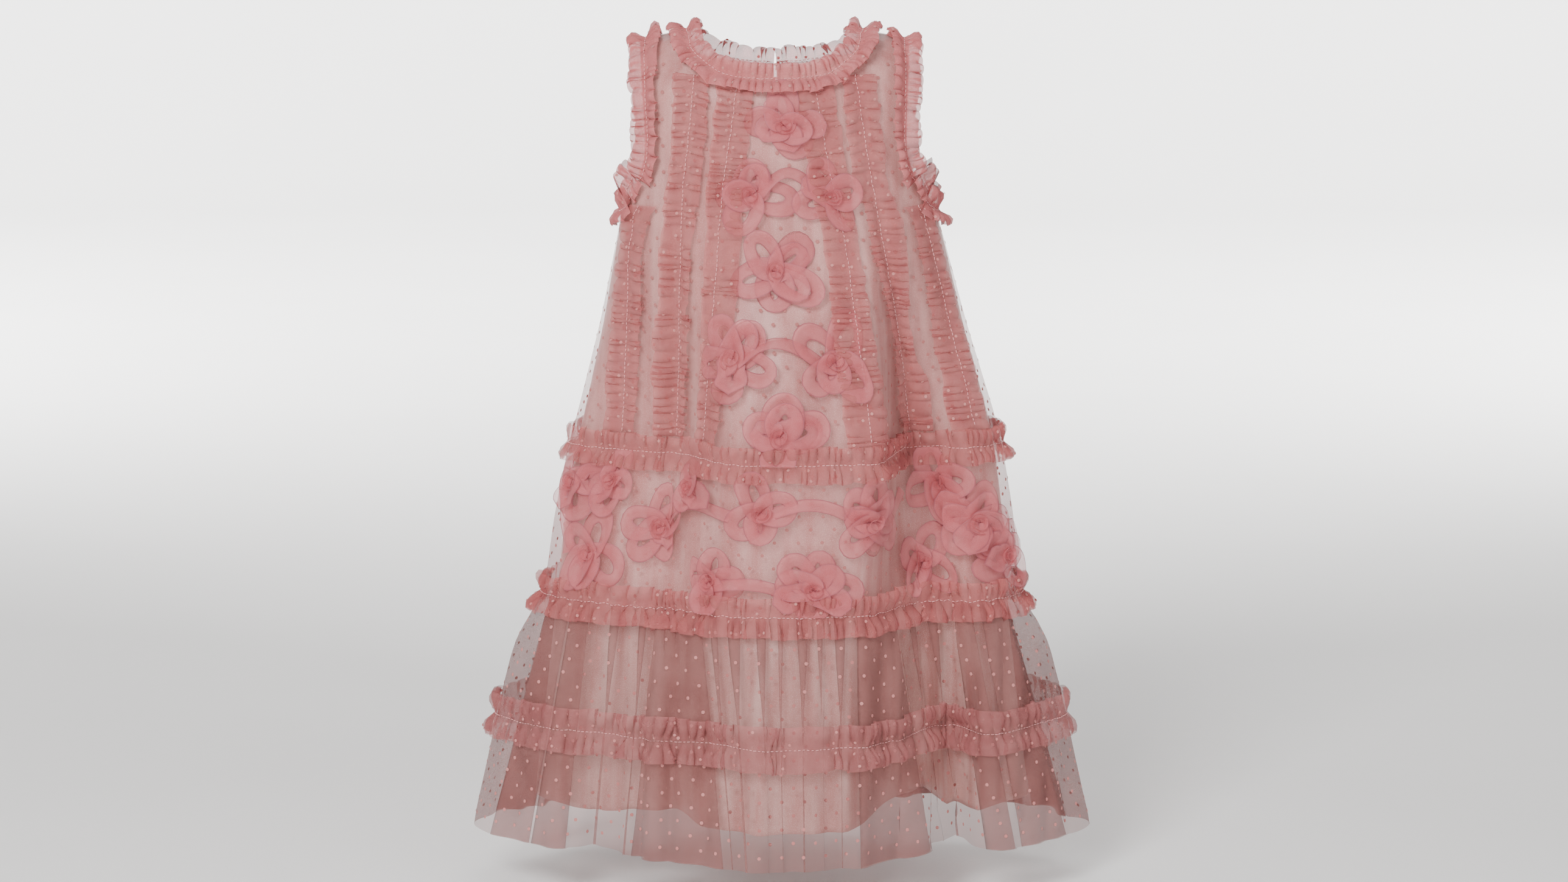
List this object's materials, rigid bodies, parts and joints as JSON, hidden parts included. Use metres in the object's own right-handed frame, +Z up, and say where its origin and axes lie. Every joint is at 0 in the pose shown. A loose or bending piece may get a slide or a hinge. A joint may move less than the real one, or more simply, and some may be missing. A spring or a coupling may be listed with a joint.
{
  "type": "shift dress",
  "caption": "Girl's sleeveless A-line shift dress: dotted tulle over a satin lining, with gathered upright ruffles, ribbon flowers, ruffle rows and a sheer flounce, worn open and hollow",
  "frame": {"origin": "between the two shoulder seams at the neck, where shoulders hold the dress up", "axes": "+X to the picture's right, +Y to the wearer's back, +Z up; the front faces -Y"},
  "size_m": [0.4431, 0.2897, 0.5812],
  "materials": {
    "lining_satin": "pale rose polyester satin, soft sheen",
    "tulle": "sheer dusty-rose nylon tulle with small flocked dots, matt",
    "ruffle_tulle": "gathered dusty-rose nylon tulle, sheer, raw edges",
    "button_shell": "small pearly button"
  },
  "bodies": {
    "root": {"lining_front": "lining_satin", "lining_back_left": "lining_satin", "lining_back_right": "lining_satin", "centre_panel": "tulle", "side_front_left": "tulle", "side_front_right": "tulle", "back_left": "tulle", "back_right": "tulle", "band_front": "tulle", "band_back": "tulle", "flounce_front": "tulle", "flounce_back": "tulle", "neck_ruffle": "ruffle_tulle", "armhole_ruffle_left": "ruffle_tulle", "armhole_ruffle_right": "ruffle_tulle", "ruffle_far_left": "ruffle_tulle", "ruffle_mid_left": "ruffle_tulle", "ruffle_inner_left": "ruffle_tulle", "ruffle_inner_right": "ruffle_tulle", "ruffle_mid_right": "ruffle_tulle", "ruffle_far_right": "ruffle_tulle", "row_1_front": "ruffle_tulle", "row_1_back": "ruffle_tulle", "row_2_front": "ruffle_tulle", "row_2_back": "ruffle_tulle", "row_3_front": "ruffle_tulle", "row_3_back": "ruffle_tulle", "button": "button_shell"}
  },
  "joints": []
}
